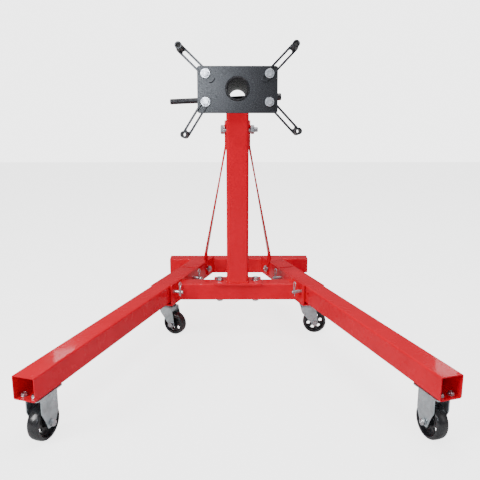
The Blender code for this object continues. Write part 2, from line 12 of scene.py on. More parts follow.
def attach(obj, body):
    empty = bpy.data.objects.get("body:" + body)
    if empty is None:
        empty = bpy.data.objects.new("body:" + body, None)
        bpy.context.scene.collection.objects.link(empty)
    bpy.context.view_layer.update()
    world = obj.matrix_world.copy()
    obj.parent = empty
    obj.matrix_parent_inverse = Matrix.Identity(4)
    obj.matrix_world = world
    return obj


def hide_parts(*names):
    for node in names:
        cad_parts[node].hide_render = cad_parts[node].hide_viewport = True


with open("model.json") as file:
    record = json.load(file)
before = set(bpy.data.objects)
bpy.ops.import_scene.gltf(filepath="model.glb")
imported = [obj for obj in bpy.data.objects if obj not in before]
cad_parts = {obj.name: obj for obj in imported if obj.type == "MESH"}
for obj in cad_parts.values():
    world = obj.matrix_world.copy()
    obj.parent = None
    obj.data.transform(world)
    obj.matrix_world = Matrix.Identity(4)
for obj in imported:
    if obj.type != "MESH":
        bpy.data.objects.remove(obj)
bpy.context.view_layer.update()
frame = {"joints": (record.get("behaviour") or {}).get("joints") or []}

MM = 0.001
GAP = 0.3 * MM
random.seed(11)
JOINTS = {j["name"]: j for j in frame["joints"]}
SIDES = (("left", -1), ("right", 1))


# ------------------------------------------------------------------ frames taken from the record
def matrix_of(origin, x_axis, y_axis):
    x = Vector(x_axis).normalized()
    z = x.cross(Vector(y_axis)).normalized()
    y = z.cross(x)
    m = Matrix((x, y, z)).transposed().to_4x4()
    m.translation = Vector(origin)
    return m


LEG = {}
for word, side in SIDES:
    fold = JOINTS[word + "_leg_fold"]
    across = -Vector(fold["axis"])
    LEG[word] = matrix_of(fold["pos_m"], across, Vector((0, 0, 1)).cross(across))
    LEG[word] = LEG[word] @ Matrix.Translation((0, -866 * MM, -163 * MM))
HEAD = matrix_of(JOINTS["head_turn"]["pos_m"], (1, 0, 0), -Vector(JOINTS["head_turn"]["axis"]))
MAST_Y = JOINTS["head_turn"]["pos_m"][1]
MAST = Matrix.Translation((0, MAST_Y, 0))
SPLAY = math.atan2(LEG["right"][1][0], LEG["right"][0][0])


# ------------------------------------------------------------------ materials
def new_material(name):
    m = bpy.data.materials.new(name)
    m.use_nodes = True
    nodes = m.node_tree.nodes
    return m, nodes, m.node_tree.links, nodes["Principled BSDF"]


def noise(nodes, links, coords, scale, detail, rough):
    n = nodes.new("ShaderNodeTexNoise")
    n.inputs["Scale"].default_value = scale
    n.inputs["Detail"].default_value = detail
    n.inputs["Roughness"].default_value = rough
    links.new(coords, n.inputs["Vector"])
    return n


def ramp(nodes, links, source, stops):
    r = nodes.new("ShaderNodeValToRGB")
    links.new(source, r.inputs["Fac"])
    for element, (at, colour) in zip(r.color_ramp.elements, stops):
        element.position = at
        element.color = (*colour, 1)
    return r.outputs["Color"]


def mix(nodes, links, factor, base, colour):
    """The base colour, moved towards a fixed colour where factor is high."""
    m = nodes.new("ShaderNodeMix")
    m.data_type = "RGBA"
    links.new(factor, m.inputs[0])
    links.new(base, m.inputs[6])
    m.inputs[7].default_value = (*colour, 1)
    return m.outputs[2]


def times(nodes, links, a, b):
    m = nodes.new("ShaderNodeMath")
    m.operation = "MULTIPLY"
    for socket, value in zip(m.inputs, (a, b)):
        if isinstance(value, float):
            socket.default_value = value
        else:
            links.new(value, socket)
    return m.outputs[0]


def bumps(nodes, links, layers, shader):
    """Stack of bump layers: (height output, distance in metres, strength)."""
    last = None
    for height, distance, strength in layers:
        b = nodes.new("ShaderNodeBump")
        b.inputs["Distance"].default_value = distance
        b.inputs["Strength"].default_value = strength
        links.new(height, b.inputs["Height"])
        if last:
            links.new(last, b.inputs["Normal"])
        last = b.outputs["Normal"]
    links.new(last, shader.inputs["Normal"])


def edge_mask(nodes, links, radius):
    """White where a surface turns a sharp corner."""
    bevel = nodes.new("ShaderNodeBevel")
    bevel.samples = 4
    bevel.inputs["Radius"].default_value = radius
    geometry = nodes.new("ShaderNodeNewGeometry")
    dot = nodes.new("ShaderNodeVectorMath")
    dot.operation = "DOT_PRODUCT"
    links.new(bevel.outputs["Normal"], dot.inputs[0])
    links.new(geometry.outputs["Normal"], dot.inputs[1])
    return ramp(nodes, links, dot.outputs["Value"], [(0.80, (1, 1, 1)), (0.985, (0, 0, 0))])


def red_paint():
    m, nodes, links, s = new_material("gloss_red_paint")
    p = nodes.new("ShaderNodeTexCoord").outputs["Object"]
    cloud = noise(nodes, links, p, 9.0, 4, 0.6)
    fine = noise(nodes, links, p, 160.0, 3, 0.6)
    base = ramp(nodes, links, cloud.outputs["Fac"],
                [(0.30, (0.74, 0.0002, 0.0180)), (0.70, (0.86, 0.0004, 0.0240))])
    dusty = ramp(nodes, links, fine.outputs["Fac"], [(0.50, (0, 0, 0)), (0.85, (0.04, 0.04, 0.04))])
    base = mix(nodes, links, dusty, base, (0.86, 0.02, 0.04))
    edge = edge_mask(nodes, links, 1.2 * MM)
    worn = times(nodes, links, edge, ramp(
        nodes, links, noise(nodes, links, p, 55.0, 5, 0.7).outputs["Fac"],
        [(0.40, (0.06, 0.06, 0.06)), (0.66, (0.75, 0.75, 0.75))]))
    links.new(mix(nodes, links, worn, base, (0.34, 0.012, 0.014)), s.inputs["Base Color"])
    rough = ramp(nodes, links, noise(nodes, links, p, 22.0, 4, 0.6).outputs["Fac"],
                 [(0.3, (0.20, 0.20, 0.20)), (0.7, (0.31, 0.31, 0.31))])
    links.new(rough, s.inputs["Roughness"])
    s.inputs["Coat Weight"].default_value = 0.17
    s.inputs["Coat Roughness"].default_value = 0.05
    s.inputs["Specular IOR Level"].default_value = 0.08
    peel = noise(nodes, links, p, 420.0, 2, 0.5)
    wave = noise(nodes, links, p, 60.0, 2, 0.5)
    bumps(nodes, links, [(wave.outputs["Fac"], 0.6 * MM, 0.045),
                         (peel.outputs["Fac"], 0.10 * MM, 0.30)], s)
    return m


def black_paint():
    m, nodes, links, s = new_material("satin_black_paint")
    p = nodes.new("ShaderNodeTexCoord").outputs["Object"]
    cloud = noise(nodes, links, p, 14.0, 4, 0.6)
    base = ramp(nodes, links, cloud.outputs["Fac"],
                [(0.3, (0.008, 0.008, 0.011)), (0.7, (0.018, 0.018, 0.023))])
    edge = edge_mask(nodes, links, 1.4 * MM)
    worn = times(nodes, links, edge, ramp(
        nodes, links, noise(nodes, links, p, 70.0, 5, 0.7).outputs["Fac"],
        [(0.45, (0, 0, 0)), (0.72, (0.5, 0.5, 0.5))]))
    links.new(mix(nodes, links, worn, base, (0.07, 0.050, 0.044)), s.inputs["Base Color"])
    grain = noise(nodes, links, p, 480.0, 3, 0.6)
    rough = ramp(nodes, links, grain.outputs["Fac"],
                 [(0.35, (0.22, 0.22, 0.22)), (0.7, (0.31, 0.31, 0.31))])
    links.new(rough, s.inputs["Roughness"])
    lumps = noise(nodes, links, p, 130.0, 2, 0.5)
    bumps(nodes, links, [(lumps.outputs["Fac"], 0.30 * MM, 0.16),
                         (grain.outputs["Fac"], 0.12 * MM, 0.30)], s)
    return m


def zinc(name="zinc_plate", tint=(0.58, 0.65, 0.68), low=0.24, high=0.42, dull=(0.38, 0.43, 0.45)):
    m, nodes, links, s = new_material(name)
    p = nodes.new("ShaderNodeTexCoord").outputs["Object"]
    cloud = noise(nodes, links, p, 45.0, 5, 0.65)
    speck = noise(nodes, links, p, 900.0, 2, 0.5)
    base = ramp(nodes, links, cloud.outputs["Fac"], [(0.32, dull), (0.62, tint)])
    base = mix(nodes, links, ramp(nodes, links, speck.outputs["Fac"],
                                  [(0.5, (0, 0, 0)), (0.8, (0.35, 0.35, 0.35))]),
               base, (0.80, 0.80, 0.78))
    links.new(base, s.inputs["Base Color"])
    s.inputs["Metallic"].default_value = 0.88
    links.new(ramp(nodes, links, cloud.outputs["Fac"],
                   [(0.3, (high, high, high)), (0.7, (low, low, low))]), s.inputs["Roughness"])
    stretch = nodes.new("ShaderNodeMapping")
    stretch.inputs["Scale"].default_value = (300, 300, 2600)
    links.new(p, stretch.inputs["Vector"])
    scratch = noise(nodes, links, stretch.outputs["Vector"], 1.0, 2, 0.5)
    bumps(nodes, links, [(cloud.outputs["Fac"], 0.15 * MM, 0.25),
                         (scratch.outputs["Fac"], 0.05 * MM, 0.35)], s)
    return m


def cast_black():
    m, nodes, links, s = new_material("cast_wheel_enamel")
    p = nodes.new("ShaderNodeTexCoord").outputs["Object"]
    cloud = noise(nodes, links, p, 60.0, 4, 0.6)
    base = ramp(nodes, links, cloud.outputs["Fac"],
                [(0.3, (0.008, 0.008, 0.010)), (0.72, (0.022, 0.022, 0.026))])
    dust = ramp(nodes, links, noise(nodes, links, p, 210.0, 5, 0.7).outputs["Fac"],
                [(0.52, (0, 0, 0)), (0.76, (0.5, 0.5, 0.5))])
    links.new(mix(nodes, links, dust, base, (0.075, 0.072, 0.070)), s.inputs["Base Color"])
    links.new(ramp(nodes, links, cloud.outputs["Fac"],
                   [(0.3, (0.20, 0.20, 0.20)), (0.7, (0.38, 0.38, 0.38))]), s.inputs["Roughness"])
    s.inputs["Coat Weight"].default_value = 0.4
    s.inputs["Coat Roughness"].default_value = 0.16
    pits = noise(nodes, links, p, 340.0, 4, 0.65)
    bumps(nodes, links, [(cloud.outputs["Fac"], 0.6 * MM, 0.30),
                         (pits.outputs["Fac"], 0.30 * MM, 0.45)], s)
    return m


RED = red_paint()
BLACK = black_paint()
ZINC = zinc()
BRIGHT = zinc("bright_zinc_fasteners", (0.62, 0.63, 0.65), 0.20, 0.34, (0.42, 0.43, 0.46))
IRON = cast_black()


# ------------------------------------------------------------------ shape helpers
def settle(obj):
    """Freezes an object's modifiers into its mesh."""
    bpy.context.view_layer.update()
    graph = bpy.context.evaluated_depsgraph_get()
    solid = bpy.data.meshes.new_from_object(obj.evaluated_get(graph))
    obj.modifiers.clear()
    old = obj.data
    obj.data = solid
    bpy.data.meshes.remove(old)


def boolean(obj, operation, *shapes):
    """Adds closed shapes to obj or cuts them away, in obj's own axes."""
    tools = []
    for bm in shapes:
        tool = loose("tool", bm)
        tools.append(tool)
        modifier = obj.modifiers.new("b", "BOOLEAN")
        modifier.operation = operation
        modifier.solver = "EXACT"
        modifier.object = tool
    settle(obj)
    for tool in tools:
        bpy.data.objects.remove(tool)


def loose(name, bm):
    bmesh.ops.recalc_face_normals(bm, faces=bm.faces)
    mesh = bpy.data.meshes.new(name)
    bm.to_mesh(mesh)
    bm.free()
    obj = bpy.data.objects.new(name, mesh)
    bpy.context.scene.collection.objects.link(obj)
    return obj


def place(name, bm, matrix, body, material, replaces=(), cut=(), add=(), bevel=0.0, sharp=32.0):
    """A finished piece: shape, holes, softened edges, finish and the body it rides on."""
    obj = loose(name, bm)
    if add:
        boolean(obj, "UNION", *add)
    if cut:
        boolean(obj, "DIFFERENCE", *cut)
    if bevel:
        modifier = obj.modifiers.new("soft_edges", "BEVEL")
        modifier.width = bevel
        modifier.segments = 2
        modifier.limit_method = "ANGLE"
        modifier.angle_limit = math.radians(sharp)
        modifier.use_clamp_overlap = True
        settle(obj)
    obj.data.shade_smooth()
    obj.data.set_sharp_from_angle(angle=math.radians(sharp))
    modifier = obj.modifiers.new("flat_faces_stay_flat", "WEIGHTED_NORMAL")
    modifier.keep_sharp = True
    modifier.weight = 60
    settle(obj)
    obj.data.materials.clear()
    obj.data.materials.append(material)
    obj.data.transform(matrix)
    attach(obj, body)
    for node in replaces:
        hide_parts(node)


def rod(radius, start, end, axis="x", at=(0, 0, 0), segments=40):
    turn = {"x": Matrix.Rotation(math.pi / 2, 4, "Y"),
            "y": Matrix.Rotation(-math.pi / 2, 4, "X"),
            "z": Matrix.Identity(4)}[axis]
    bm = bmesh.new()
    bmesh.ops.create_cone(bm, cap_ends=True, segments=segments, radius1=radius, radius2=radius,
                          depth=end - start)
    bmesh.ops.translate(bm, vec=(0, 0, (start + end) / 2), verts=bm.verts)
    bmesh.ops.transform(bm, matrix=Matrix.Translation(at) @ turn, verts=bm.verts)
    return bm


def rounded(w, h, r, steps):
    """Outline of a rectangle with round corners."""
    points = []
    for cx, cz, start in ((1, 1, 0), (-1, 1, 90), (-1, -1, 180), (1, -1, 270)):
        for i in range(steps + 1):
            a = math.radians(start + 90 * i / steps)
            points.append((cx * (w / 2 - r) + r * math.cos(a), cz * (h / 2 - r) + r * math.sin(a)))
    return points


def arc(cx, cz, radius, start, end, steps):
    points = []
    for i in range(steps + 1):
        a = math.radians(start + (end - start) * i / steps)
        points.append((cx + radius * math.cos(a), cz + radius * math.sin(a)))
    return points


def panel(outline, low, high, axis="x"):
    """A flat outline given thickness along one axis."""
    bm = bmesh.new()
    order = {"x": lambda a, b: (low, a, b), "y": lambda a, b: (a, low, b),
             "z": lambda a, b: (a, b, low)}[axis]
    face = bm.faces.new([bm.verts.new(order(a, b)) for a, b in outline])
    shift = Vector([high - low if c == axis else 0 for c in "xyz"])
    made = bmesh.ops.extrude_face_region(bm, geom=[face])
    far = [v for v in made["geom"] if isinstance(v, bmesh.types.BMVert)]
    bmesh.ops.translate(bm, vec=shift, verts=far)
    return bm


def tube(w, wall, r, start, end, axis, centre=(0, 0), slope=(0, 0)):
    """Square tube with round corners and softened rims, its ends slanted by slope."""
    rim = 0.5 * MM
    bm = bmesh.new()
    outer = rounded(w, w, r, 6)
    inner = rounded(w - 2 * wall, w - 2 * wall, max(r - wall, 1.2 * MM), 6)
    lip = rounded(w - 2 * rim, w - 2 * rim, r - rim, 6)
    lip_in = rounded(w - 2 * wall + 2 * rim, w - 2 * wall + 2 * rim,
                     max(r - wall, 1.2 * MM) + rim, 6)
    sections = [(outer, start, rim, slope[0]), (outer, end, -rim, slope[1]), (lip, end, 0, slope[1]),
                (lip_in, end, 0, slope[1]), (inner, end, -rim, slope[1]),
                (inner, start, rim, slope[0]), (lip_in, start, 0, slope[0]),
                (lip, start, 0, slope[0])]
    loops = []
    for outline, at, back, lean in sections:
        loop = []
        for a, b in outline:
            t = at + back + lean * a
            loop.append(bm.verts.new({"y": (a + centre[0], t, b + centre[1]),
                                      "x": (t, a + centre[0], b + centre[1]),
                                      "z": (a + centre[0], b + centre[1], t)}[axis]))
        loops.append(loop)
    count = len(outer)
    for low, high in zip(loops, loops[1:] + loops[:1]):
        for i in range(count):
            j = (i + 1) % count
            bm.faces.new((low[i], low[j], high[j], high[i]))
    return bm


def turned(rings, segments=48, hollow=False):
    """Sections stacked along Z: (z, radius), or (z, half across flats, 6) for a hexagon."""
    bm = bmesh.new()
    loops = []
    for ring in rings:
        loop = []
        for i in range(segments):
            a = math.tau * i / segments
            radius = ring[1]
            if len(ring) == 3:
                part = math.tau / ring[2]
                radius /= math.cos((a % part) - part / 2)
            loop.append(bm.verts.new((radius * math.cos(a), radius * math.sin(a), ring[0])))
        loops.append(loop)
    pairs = list(zip(loops, loops[1:]))
    if hollow:
        pairs.append((loops[-1], loops[0]))
    else:
        bm.faces.new(list(reversed(loops[0])))
        bm.faces.new(loops[-1])
    for low, high in pairs:
        for i in range(segments):
            j = (i + 1) % segments
            bm.faces.new((low[i], low[j], high[j], high[i]))
    return bm


def moved(bm, matrix):
    bmesh.ops.transform(bm, matrix=matrix, verts=bm.verts)
    return bm


def hex_head(face, height, flats):
    """Rings of a chamfered, dished hexagon head that grows upwards from face."""
    tip = face + height
    return [(face, flats * 0.95), (face + 0.3 * MM, flats, 6), (tip - 1.5 * MM, flats, 6),
            (tip - 0.5 * MM, flats * 0.985), (tip, flats * 0.93), (tip, flats * 0.64),
            (tip - 0.8 * MM, flats * 0.56)]


def thread(radius, start, end):
    """Rings of a screw thread between two heights."""
    root = radius - 0.75 * MM
    rings = []
    count = max(1, int(abs(end - start) / (1.5 * MM)))
    step = (end - start) / count
    for i in range(count):
        z = start + step * i
        rings += [(z, root), (z + step * 0.42, radius), (z + step * 0.58, radius)]
    rings.append((end, root))
    return rings


def bolt(name, matrix, body, r, flats, head, washer, grip, tail, nut, replaces=()):
    """A hexagon bolt along Z: head above 0 with its washer, nut and thread end below -grip."""
    wide, thick = washer
    rings = list(reversed(hex_head(thick, head, flats)))
    bottom = -grip - nut - tail
    rings += [(thick, r)] + thread(r, -grip + 2 * MM, bottom + 1 * MM) + [(bottom, r * 0.72)]
    place(name, turned(list(reversed(rings)), 36), matrix, body, BRIGHT, replaces)
    rim = 0.4 * MM
    rings = [(0, r + 0.1 * MM), (0, wide - rim), (rim, wide), (thick - rim, wide),
             (thick, wide - rim), (thick, r + 0.1 * MM)]
    place(name + "_washer", turned(rings, 48, True), matrix, body, BRIGHT)
    if nut:
        top = -grip
        rings = [(top, r), (top, flats * 0.93), (top - 0.5 * MM, flats * 0.985),
                 (top - 1.2 * MM, flats, 6), (top - nut + 1.2 * MM, flats, 6),
                 (top - nut + 0.5 * MM, flats * 0.985), (top - nut, flats * 0.93),
                 (top - nut, r + 0.8 * MM), (top - nut + 0.8 * MM, r)]
        place(name + "_nut", turned(list(reversed(rings)), 36, True), matrix, body, BRIGHT)


def wire(name, points, radius, matrix, body, material, replaces=(), radii=None, cyclic=False,
         resolution=3):
    """A round bar or bead along a path, as a mesh."""
    curve = bpy.data.curves.new(name, "CURVE")
    curve.dimensions = "3D"
    curve.bevel_depth = radius
    curve.bevel_resolution = resolution
    curve.use_fill_caps = True
    spline = curve.splines.new("POLY")
    spline.points.add(len(points) - 1)
    spline.use_cyclic_u = cyclic
    for i, (point, co) in enumerate(zip(spline.points, points)):
        point.co = (*co, 1)
        point.radius = radii[i] if radii else 1.0
    carrier = bpy.data.objects.new(name + "_path", curve)
    bpy.context.scene.collection.objects.link(carrier)
    bpy.context.view_layer.update()
    graph = bpy.context.evaluated_depsgraph_get()
    mesh = bpy.data.meshes.new_from_object(carrier.evaluated_get(graph))
    bpy.data.objects.remove(carrier)
    bpy.data.curves.remove(curve)
    bm = bmesh.new()
    bm.from_mesh(mesh)
    bpy.data.meshes.remove(mesh)
    bmesh.ops.remove_doubles(bm, verts=bm.verts, dist=1e-6)
    place(name, bm, matrix, body, material, replaces, sharp=60)


def weld(name, corners, radius, matrix, body, material=RED, cyclic=False, pitch=2.4 * MM):
    """A rippled weld bead along straight runs between corners."""
    points, radii = [], []
    ends = corners + corners[:1] if cyclic else corners
    for a, b in zip(ends, ends[1:]):
        a, b = Vector(a), Vector(b)
        count = max(2, int((b - a).length / pitch))
        for i in range(count):
            for part, swell in ((0.0, 0.82), (0.35, 1.06), (0.75, 1.10)):
                co = a.lerp(b, (i + part) / count)
                jitter = Vector([random.uniform(-1, 1) for _ in range(3)]) * radius * 0.07
                points.append(co + jitter)
                radii.append(swell * random.uniform(0.93, 1.07))
    if not cyclic:
        points.append(Vector(ends[-1]))
        radii.append(0.6)
        radii[0] = 0.6
    wire(name, points, radius, matrix, body, material, radii=radii, cyclic=cyclic, resolution=2)


# ------------------------------------------------------------------ frame tubes and plates
LEG_Z, BEAM_Z = 155.5 * MM, 149.5 * MM
PLATE_IN, PLATE_OUT = 32 * MM, 37 * MM
PIN_Z, LOCK_U, PIVOT_U = 163 * MM, 703 * MM, 866 * MM
FRONT_X = abs((MAST.inverted() @ LEG["right"].translation).x)
FRONT_Y = (MAST.inverted() @ LEG["right"].translation).y


def plate_x(y):
    """Distance from the middle to the inner socket plate's inward face, y behind the mast."""
    return FRONT_X - math.tan(SPLAY) * (y - FRONT_Y) - PLATE_OUT / math.cos(SPLAY)


def along(y, offset):
    """How far along a leg a plane at an outward offset is y behind the mast."""
    return (y - FRONT_Y - offset * math.sin(SPLAY)) / math.cos(SPLAY)


half = plate_x(0) - GAP / math.cos(SPLAY)
holes = [rod(6.3 * MM, 100 * MM, 200 * MM, "z", (s * 59 * MM, -2 * MM, 0)) for s in (-1, 1)]
place("beam_cross", tube(55 * MM, 3 * MM, 5 * MM, -half, half, "x", (0, BEAM_Z),
                         (math.tan(SPLAY), -math.tan(SPLAY))), MAST, "frame", RED, ["cross_tube"],
      cut=holes)
place("beam_rear", tube(55 * MM, 3 * MM, 5 * MM, -256 * MM, 266 * MM, "x", (319.5 * MM, BEAM_Z)),
      MAST, "frame", RED, ["rear_bar"])
bar_face = 292 * MM - GAP
mitre = along(bar_face, 0)
brace_u = along(225 * MM, -(PLATE_IN + PLATE_OUT) / 2)
for word, side in SIDES:
    line = LEG[word]
    slope = -side * math.tan(SPLAY)
    place(word + "_rail", tube(57 * MM, 3 * MM, 5 * MM, 915.5 * MM, mitre, "y", (0, LEG_Z),
                               (0, slope)), line, "frame", RED, [word + "_rear_rail"])
    slot = [(-5.4, 3), (-4, 5), (0, 5.6), (4, 5), (5.4, 3), (14, -60), (-5.4, -60)]
    notch = panel([(LOCK_U + a * MM, PIN_Z + b * MM) for a, b in slot], -50 * MM, 50 * MM)
    place(word + "_leg_tube",
          tube(57 * MM, 3 * MM, 4.4 * MM, 0, 908 * MM, "y", (0, LEG_Z)), line, word + "_leg", RED,
          [word + "_leg"],
          cut=[rod(5.3 * MM, -50 * MM, 50 * MM, "x", (0, PIVOT_U, PIN_Z)), notch,
               rod(4 * MM, *sorted((-side * 40 * MM, -side * 10 * MM)), "x", (0, 672 * MM, PIN_Z))])
    for where, low, high, crest in (("inner", -PLATE_OUT, -PLATE_IN, 187),
                                    ("outer", PLATE_IN, PLATE_OUT, 180)):
        low, high = sorted((side * low, side * high))
        outline = [(687, 121.3), (800, 121.3), (812, 127), (1200, 127), (1200, crest)]
        outline = [(a * MM, b * MM) for a, b in outline]
        outline += arc(691 * MM, (crest - 4) * MM, 4 * MM, 90, 180, 4)
        bm = panel(outline, low, high)
        for v in bm.verts:
            if v.co.y > 1.1:
                v.co.y = mitre + slope * v.co.x
        cuts = [rod(5.3 * MM, -50 * MM, 50 * MM, "x", (0, u, PIN_Z)) for u in (LOCK_U, PIVOT_U)]
        place(word + "_cheek_" + where, bm, line, "frame", RED,
              [word + "_socket_" + where + "_plate"], cut=cuts, bevel=0.7 * MM, sharp=40)
    outline = [(-36.7 * MM, 687 * MM), (36.7 * MM, 687 * MM), (36.7 * MM, 800 * MM),
               (-36.7 * MM, 800 * MM)]
    place(word + "_socket_base", panel(outline, 117 * MM, 121 * MM, "z"), line, "frame", RED,
          [word + "_socket_floor"], bevel=0.7 * MM)

# Mast, foot plate and collar
top = 772 * MM
lean = Matrix.Translation((0, 0, (MAST.inverted() @ HEAD.translation).z)) @ \
    (MAST.inverted() @ HEAD).to_3x3().to_4x4()
place("mast_post", tube(70 * MM, 3.5 * MM, 9 * MM, 183.6 * MM, top, "z"), MAST, "frame", RED,
      ["mast_tube"],
      cut=[moved(rod(36.8 * MM, -120 * MM, 120 * MM, "y", segments=96), lean),
           rod(8.3 * MM, -60 * MM, 60 * MM, "x", (0, 0, 672 * MM))])
foot = [(x, y - 6 * MM) for x, y in rounded(155 * MM, 82 * MM, 5 * MM, 4)]
place("foot_flange", panel(foot, 177.3 * MM, 183.3 * MM, "z"), MAST, "frame", RED,
      ["mast_foot_plate"],
      cut=[rod(6.3 * MM, 150 * MM, 200 * MM, "z", (s * 59 * MM, -2 * MM, 0)) for s in (-1, 1)],
      bevel=0.7 * MM, sharp=50)
TURN_Y = Matrix.Rotation(-math.pi / 2, 4, "X")
rings = [(-165 * MM, 30.9 * MM), (-165 * MM, 35.7 * MM), (-164.2 * MM, 36.5 * MM),
         (84.2 * MM, 36.5 * MM), (85 * MM, 35.7 * MM), (85 * MM, 30.9 * MM),
         (84.6 * MM, 30.5 * MM), (-164.6 * MM, 30.5 * MM)]
place("bearing_sleeve", moved(turned(rings, 96, True), TURN_Y), HEAD, "frame", RED,
      ["head_collar"], cut=[rod(6.4 * MM, 0, 60 * MM, "z", (0, 40 * MM, 0))])

# ------------------------------------------------------------------ braces
for word, side in SIDES:
    lay = 2.5 * MM + GAP
    low_x = plate_x(201.3 * MM) - lay / math.cos(SPLAY)
    end_x = plate_x(232.9 * MM) - lay / math.cos(SPLAY)
    flat = 35 * MM + lay
    spine = [Vector((flat, -9.6 * MM, 694 * MM)), Vector((flat, 23.7 * MM, 618 * MM)),
             Vector((low_x, 201.3 * MM, 213 * MM)), Vector((end_x, 232.9 * MM, 141 * MM))]
    turn = Vector((math.cos(SPLAY), math.sin(SPLAY), 0))
    bm = bmesh.new()
    loops = []
    runs = [(spine[1] - spine[0]).normalized(), (spine[3] - spine[2]).normalized()]
    widths = [runs[0].cross(Vector((1, 0, 0))).normalized(), runs[1].cross(turn).normalized()]
    stations = []
    for i in range(5):
        a = math.radians(90 * i / 4)
        stations.append((spine[0] + runs[0] * 15.5 * MM * (1 - math.sin(a)), 0,
                         max(0.12, math.sin(math.acos(1 - math.sin(a))))))
    stations.append((spine[1], 0, 1.0))
    for i in range(1, 10):
        stations.append((spine[1].lerp(spine[2], i / 10), i / 10, 1.0))
    stations.append((spine[2], 1, 1.0))
    for i in range(5):
        a = math.radians(90 * i / 4)
        stations.append((spine[3] - runs[1] * 15.5 * MM * (1 - math.sin(a)), 1,
                         max(0.12, math.sin(math.acos(1 - math.sin(a))))))
    first, last = stations[:5], stations[-5:]
    stations = list(reversed(first)) + stations[5:-5] + last
    for centre, part, wide in stations:
        width = widths[0].lerp(widths[1], part).normalized()
        normal = Vector((1, 0, 0)).lerp(turn, part).normalized()
        loop = []
        for a, b in ((-1, -1), (1, -1), (1, 1), (-1, 1)):
            co = centre + width * (a * wide * 16 * MM) + normal * (b * 2.5 * MM)
            loop.append(bm.verts.new((side * co.x, co.y, co.z)))
        loops.append(loop)
    bm.faces.new(loops[0])
    bm.faces.new(loops[-1])
    for low, high in zip(loops, loops[1:]):
        for i in range(4):
            j = (i + 1) % 4
            bm.faces.new((low[i], low[j], high[j], high[i]))
    place(word + "_strap", bm, MAST, "frame", RED, [word + "_brace"], bevel=0.8 * MM, sharp=50)
    inward = Matrix.Rotation(-side * math.pi / 2, 4, "Y")
    near = (PLATE_OUT + 5 * MM + 2 * GAP)
    bolt(word + "_strap_bolt",
         LEG[word] @ Matrix.Translation((-side * near, brace_u, 159 * MM)) @ inward, "frame",
         6 * MM, 9 * MM, 7 * MM, (12 * MM, 2 * MM), 13 * MM, 8 * MM, 0, [word + "_brace_bolt"])

side_x = 35 * MM + 5 * MM + 2 * GAP
bolt("strap_top_bolt",
     MAST @ Matrix.Translation((-side_x, 0, 672 * MM)) @ Matrix.Rotation(-math.pi / 2, 4, "Y"),
     "frame", 8 * MM, 12.2 * MM, 9.6 * MM, (14 * MM, 2.4 * MM), 2 * side_x, 11 * MM, 12 * MM,
     ["brace_top_bolt", "brace_top_nut"])
for word, side in SIDES:
    bolt(word + "_base_bolt", MAST @ Matrix.Translation((side * 59 * MM, -2 * MM, 183.6 * MM)),
         "frame", 6 * MM, 9.3 * MM, 7.5 * MM, (13 * MM, 2.4 * MM), 61.9 * MM, 1 * MM, 9 * MM,
         [word + "_foot_bolt", word + "_foot_nut"])

# ------------------------------------------------------------------ pins and clips
for word, side in SIDES:
    for kind, u in (("lock", LOCK_U), ("pivot", PIVOT_U)):
        out = LEG[word] @ Matrix.Translation((0, u, PIN_Z))
        if side < 0:
            out = out @ Matrix.Rotation(math.pi, 4, "Z")
        rings = [(-70 * MM, 3.2 * MM), (-69.4 * MM, 4.2 * MM), (-68.3 * MM, 5 * MM),
                 (37.3 * MM, 5 * MM), (37.3 * MM, 8.6 * MM), (37.7 * MM, 9 * MM),
                 (40.4 * MM, 9 * MM), (41.6 * MM, 8.5 * MM), (42.6 * MM, 7.2 * MM),
                 (43 * MM, 4 * MM)]
        name = word + "_" + kind + "_pin"
        place(name + "_turned", turned(rings, 40), out @ Matrix.Rotation(math.pi / 2, 4, "Y"),
              name, BRIGHT, [name], cut=[rod(1.8 * MM, -20 * MM, 20 * MM, "x", (0, 0, -60 * MM))])
        path = [(0, -15), (0, -2), (0, 12), (-1.2, 16), (-3.6, 19.4)]
        path += arc(1.5, 25, 7.6, 208, -28, 16)
        path += [(8.5, 18), (8.0, 14), (7.7, 8), (7.9, 3), (8.5, -1), (9.3, -5), (10.4, -9)]
        wire(word + "_" + kind + "_hairpin", [(0, a * MM, b * MM) for a, b in path], 1.5 * MM,
             out @ Matrix.Translation((-60 * MM, 0, 0)), word + "_" + kind + "_clip", BRIGHT,
             [word + "_" + kind + "_clip"])

# ------------------------------------------------------------------ head
HEAD_FACE = -200 * MM
ARM_LEN = 123 * MM
ARMS = (("upper_left", -1, 40 * MM, -67 * MM, 65 * MM),
        ("upper_right", 1, 40 * MM, 66 * MM, 69 * MM),
        ("lower_left", -1, -36 * MM, -56 * MM, -89 * MM),
        ("lower_right", 1, -36 * MM, 75 * MM, -80 * MM))
outline = [(x, z - 2.5 * MM) for x, z in rounded(222 * MM, 127 * MM, 6 * MM, 5)]
cuts = [rod(33.2 * MM, -230 * MM, -195 * MM, "y", segments=72),
        rod(30.3 * MM, -230 * MM, -150 * MM, "y", segments=72)]
cuts += [rod(5.3 * MM, -230 * MM, -150 * MM, "y", (s * 88 * MM, 0, z)) for _, s, z, _, _ in ARMS]
place("face_plate", panel(outline, HEAD_FACE, HEAD_FACE + 9 * MM, "y"), HEAD, "head", BLACK,
      ["head_plate"], cut=cuts, bevel=0.8 * MM, sharp=50)
rings = [(-199 * MM, 27.6 * MM), (-199 * MM, 30 * MM), (169.4 * MM, 30 * MM),
         (170 * MM, 29.4 * MM), (170 * MM, 27.6 * MM), (169.4 * MM, 27 * MM),
         (-198.4 * MM, 27 * MM)]
slide = JOINTS["handle_bar_slide"]
bar_tilt = math.asin(Vector(slide["axis"]).normalized().z / HEAD[2][2])
bar = Matrix.Translation((0, 150 * MM, -2.7 * MM)) @ \
    Matrix.Rotation(math.pi / 2 - bar_tilt, 4, "Y")
